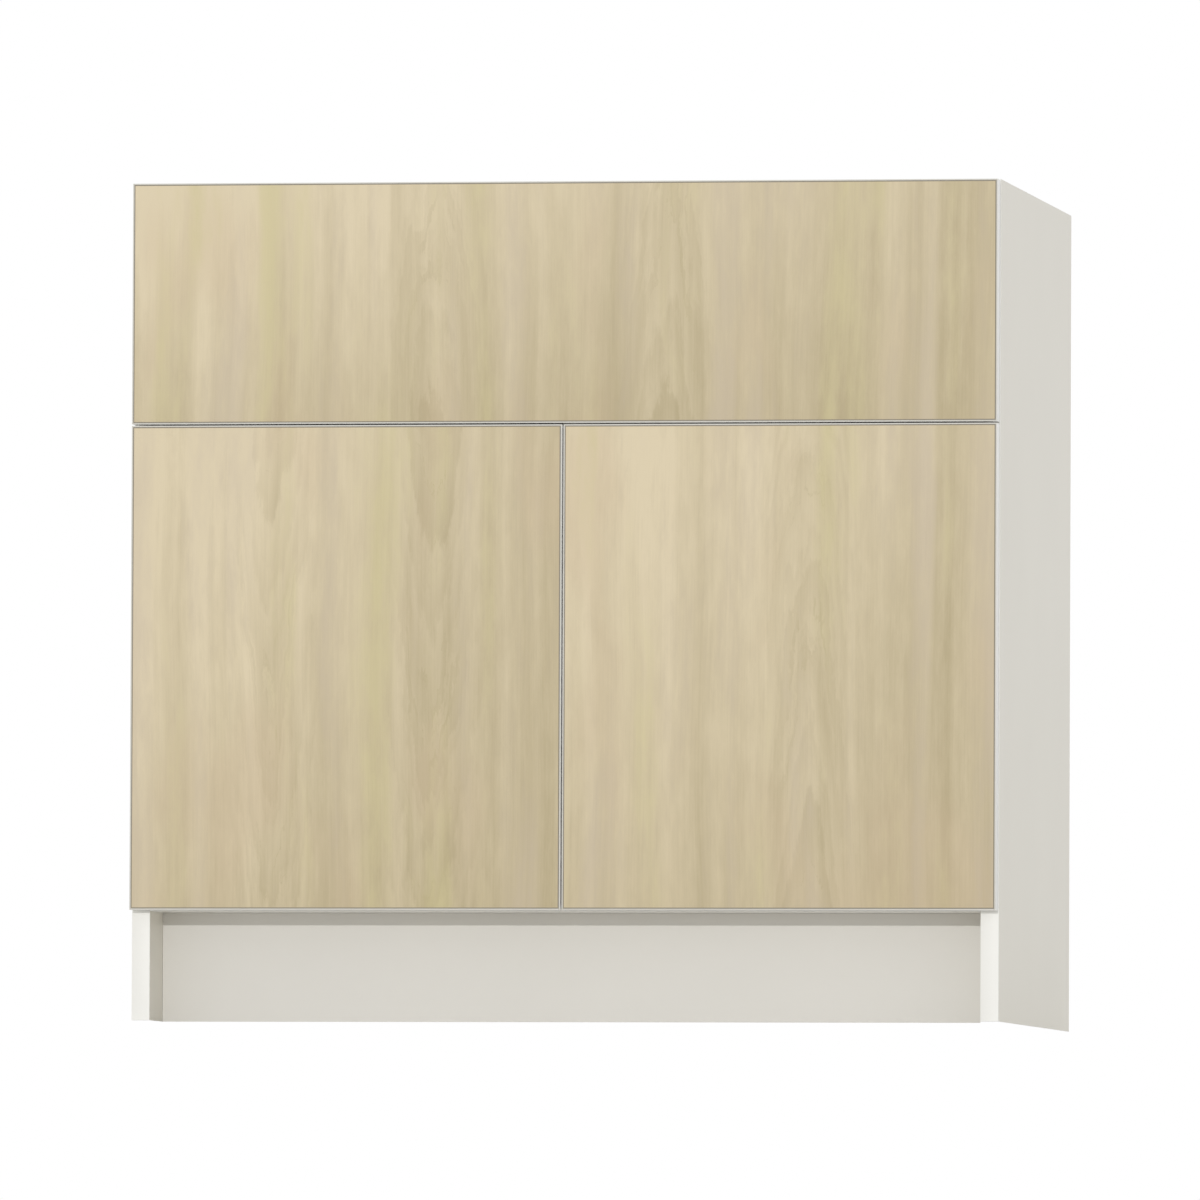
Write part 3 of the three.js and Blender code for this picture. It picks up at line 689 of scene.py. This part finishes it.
# Radius and height
BUMPER_RINGS = [(0.005, 0), (0.005, 0.0005), (0.0047, 0.0009), (0.0038, 0.0013), (0.0024, 0.00152)]
BUMPER_HEIGHT = 0.0016
bumper_mesh = turned("door_bumper", BUMPER_RINGS, BUMPER_HEIGHT)
for side in SIDES:
    nodes = [f"door_bumper_{level}_{side}" for level in LEVELS]
    bumper_spots = []
    for node in nodes:
        low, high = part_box(node)
        bumper_spots.append((((low.x + high.x) / 2, low.y, (low.z + high.z) / 2), (0, 1, 0)))
    name = "door_bumpers_" + side
    fasten(name, "door_" + side, bumper_mesh, bumper_spots, clear_plastic, "clear_bumper", *nodes)

# ---- Hinges -----------------------------------------------------------------------------------------------
# Two concealed hinges to a door, pressed from nickel-plated steel: a cup in the door, two links, an arm, and
# the arm's plate on the side. Screws hold the cup and the plate, and two more set the arm.

nickel, shader, place = new_finish("nickel_steel", Metallic=1.0)
cloud = place.noise(60, 60, 60, 3)
cloud.mixed(tint(188, 184, 176), tint(214, 211, 204)).feeds(shader, "Base Color")
(cloud * 0.14 + place.noise(900, 900, 900, 2) * 0.08 + 0.17).feeds(shader, "Roughness")
place.noise(1300, 1300, 1300, 2).bump(0.00002).feeds(shader, "Normal")

HINGE_BODIES = {
    "cup": "door_{}",
    "outer_link": "outer_links_{}",
    "inner_link": "inner_links_{}",
    "arm": "carcass",
    "plate": "carcass",
}
HINGE_CORNER = 0.00018  # radius
for side in SIDES:
    for level in LEVELS:
        for part, body in HINGE_BODIES.items():
            node = f"hinge_{part}_{level}_{side}"
            round_off(node, body.format(side), HINGE_CORNER, nickel, "nickel_steel")

PLATE_SCREW_UP = 0.016  # from the hinge's middle
ARM_TOP_SCREW = (0.0331, 0.052)  # from the door's outer edge and from its back face
ARM_SLOPE_SCREW = (0.0371, 0.0272)
ARM_SLOPE = math.radians(18.8)
CUP_SCREW_IN = 0.031  # from the door's outer edge
CUP_SCREW_UP = 0.0225  # from the hinge's middle
CUP_FLANGE = 0.0011  # thickness, with the glue under it
door_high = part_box("door_right_edge_band")[1]
hinge_heights, plate_spots, arm_spots = [], [], []
for level in LEVELS:
    low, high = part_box(f"hinge_plate_{level}_right")
    height = (low.z + high.z) / 2
    hinge_heights.append(height)
    for rise in (-PLATE_SCREW_UP, PLATE_SCREW_UP):
        plate_spots += mirrored((low.x, (low.y + high.y) / 2, height + rise), (-1, 0, 0))
    top = (door_high.x - ARM_TOP_SCREW[0], door_high.y + ARM_TOP_SCREW[1], height)
    arm_spots += mirrored(top, (-1, 0, 0))
    slope = (door_high.x - ARM_SLOPE_SCREW[0], door_high.y + ARM_SLOPE_SCREW[1], height)
    arm_spots += mirrored(slope, (-math.cos(ARM_SLOPE), math.sin(ARM_SLOPE), 0))
plate_screw = screw_mesh("plate_screw", radius=0.0033, height=0.0014)
arm_screw = screw_mesh("arm_screw", radius=0.0036, height=0.0012)
cup_screw = screw_mesh("cup_screw", radius=0.0034, height=0.0013)
fasten("hinge_plate_screws", "carcass", plate_screw, plate_spots, nickel, "nickel_steel", seed=3)
fasten("hinge_arm_screws", "carcass", arm_screw, arm_spots, nickel, "nickel_steel", seed=4)
for side, sign in SIDES.items():
    cup_spots = [
        ((sign * (door_high.x - CUP_SCREW_IN), door_high.y + CUP_FLANGE, height + rise), (0, 1, 0))
        for height in hinge_heights
        for rise in (-CUP_SCREW_UP, CUP_SCREW_UP)
    ]
    fasten("hinge_cup_screws_" + side, "door_" + side, cup_screw, cup_spots, nickel, "nickel_steel", seed=5)

# ---- Camera, light and floor ------------------------------------------------------------------------------
# The camera stands far off, a little to the right and just under floor level, so the front is nearly square.
# A low sun from the front and an even white sky light the cabinet.

AZIMUTH = math.radians(8.707)
ELEVATION = math.radians(-2.442)
ROLL = math.radians(0.246)
DISTANCE = 18.181
AIM_RIGHT = -0.0065  # from the middle of the cabinet
AIM_UP = 0.013
LENS = 514.7  # millimetres, as its sensor's width is
SENSOR = 36
FARTHEST_SEEN = 100
back = Vector(
    (math.sin(AZIMUTH) * math.cos(ELEVATION), -math.cos(AZIMUTH) * math.cos(ELEVATION), math.sin(ELEVATION))
)
level = Vector((math.cos(AZIMUTH), math.sin(AZIMUTH), 0))
upright = back.cross(level)
right = math.cos(ROLL) * level + math.sin(ROLL) * upright
up = back.cross(right)
cabinet_middle = Vector((0, 0, (cad_box[0][2] + cad_box[1][2]) / 2))
camera = bpy.data.objects.new("camera", bpy.data.cameras.new("camera"))
camera.data.lens = LENS
camera.data.sensor_width = SENSOR
camera.data.clip_end = FARTHEST_SEEN
camera_place = cabinet_middle + AIM_RIGHT * right + AIM_UP * up + DISTANCE * back
camera_turn = Matrix((right, up, back)).transposed()
camera.matrix_world = Matrix.Translation(camera_place) @ camera_turn.to_4x4()
bpy.context.scene.collection.objects.link(camera)
bpy.context.scene.camera = camera

SUN_SHARE = 0.24
SKY_SHARE = 0.76
SUN_HEIGHT = math.radians(8.2)
SUN_WIDTH = math.radians(0.5)
sun = bpy.data.objects.new("sun", bpy.data.lights.new("sun", "SUN"))
sun.data.energy = SUN_SHARE * math.pi
sun.data.angle = SUN_WIDTH
sun.rotation_euler = (math.pi / 2 - SUN_HEIGHT, 0, 0)
bpy.context.scene.collection.objects.link(sun)

WHITE = (1, 1, 1, 1)
world = bpy.data.worlds.new("studio")
world.use_nodes = True
bpy.context.scene.world = world
rays = world.node_tree.nodes.new("ShaderNodeLightPath").outputs
seen = Wire(rays["Is Camera Ray"])
for kind in ("Is Glossy Ray", "Is Transmission Ray"):
    seen = seen.math("MAXIMUM", Wire(rays[kind]))
(seen * (1 - SKY_SHARE) + SKY_SHARE).feeds(world.node_tree.nodes["Background"], "Strength")
world.node_tree.nodes["Background"].inputs["Color"].default_value = WHITE

# The floor is clear from below, and open under the boards, where no light would come in otherwise. A white
# screen hangs under it, along the feet that the camera looks past, and hides the boards' lower ends.
FLOOR_LEVEL = -0.0001
FLOOR_REACH = 6
FLOOR_LIP = 0.001  # how far it reaches under the boards' edges
FLOOR_GREY = (0.8, 0.8, 0.79, 1)
SCREEN_DROP = 0.03
BLACK = (0, 0, 0, 1)


def stage_mesh(name, corners, faces, material):
    """A part of the studio, which isn't part of the cabinet."""
    mesh = bpy.data.meshes.new(name)
    mesh.from_pydata(corners, [], faces)
    mesh.materials.append(material)
    piece = bpy.data.objects.new(name, mesh)
    bpy.context.scene.collection.objects.link(piece)


material, shader, place = new_finish("floor", Base_Color=FLOOR_GREY, Roughness=0.9)
tree = material.node_tree
backside = Wire(tree.nodes.new("ShaderNodeNewGeometry").outputs["Backfacing"])
see_through = backside.node("BsdfTransparent", {}, {})
shown = backside.node("MixShader", {}, {0: backside, 1: Wire(shader.outputs[0]), 2: see_through})
tree.links.new(shown.socket, tree.nodes["Material Output"].inputs["Surface"])
leg_low, leg_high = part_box("side_panel_right")
inner, outer = leg_low.x, leg_high.x
toe_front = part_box("toe_kick_board")[0].y
hole_side = outer - FLOOR_LIP
hole_front, hole_rear = leg_low.y + FLOOR_LIP, leg_high.y - FLOOR_LIP
# Rectangles from one corner to the other: before, behind and beside the cabinet, and in its toe space
stretches = [
    (-FLOOR_REACH, -FLOOR_REACH, FLOOR_REACH, hole_front),
    (-FLOOR_REACH, hole_rear, FLOOR_REACH, FLOOR_REACH),
    (-FLOOR_REACH, hole_front, -hole_side, hole_rear),
    (hole_side, hole_front, FLOOR_REACH, hole_rear),
    (-inner - FLOOR_LIP, hole_front, inner + FLOOR_LIP, toe_front + FLOOR_LIP),
]
floor_corners = []
for x0, y0, x1, y1 in stretches:
    floor_corners += [(x, y, FLOOR_LEVEL) for x, y in ((x0, y0), (x1, y0), (x1, y1), (x0, y1))]
floor_faces = [range(start, start + 4) for start in range(0, len(floor_corners), 4)]
stage_mesh("floor", floor_corners, floor_faces, material)

screen_white, shader, place = new_finish(
    "screen", Base_Color=BLACK, Specular_IOR_Level=0, Emission_Strength=1
)
rays = screen_white.node_tree.nodes.new("ShaderNodeLightPath").outputs
Wire(rays["Is Camera Ray"]).mixed(BLACK, WHITE).feeds(shader, "Emission Color")
course = [
    (-outer, leg_low.y),
    (-inner, leg_low.y),
    (-inner, toe_front),
    (inner, toe_front),
    (inner, leg_low.y),
    (outer, leg_low.y),
    (outer, leg_high.y),
]
screen_corners = [(x, y, z) for x, y in course for z in (FLOOR_LEVEL / 2, -SCREEN_DROP)]
screen_faces = [(2 * step, 2 * step + 1, 2 * step + 3, 2 * step + 2) for step in range(len(course) - 1)]
stage_mesh("screen", screen_corners, screen_faces, screen_white)

bpy.context.scene.view_settings.view_transform = "Standard"
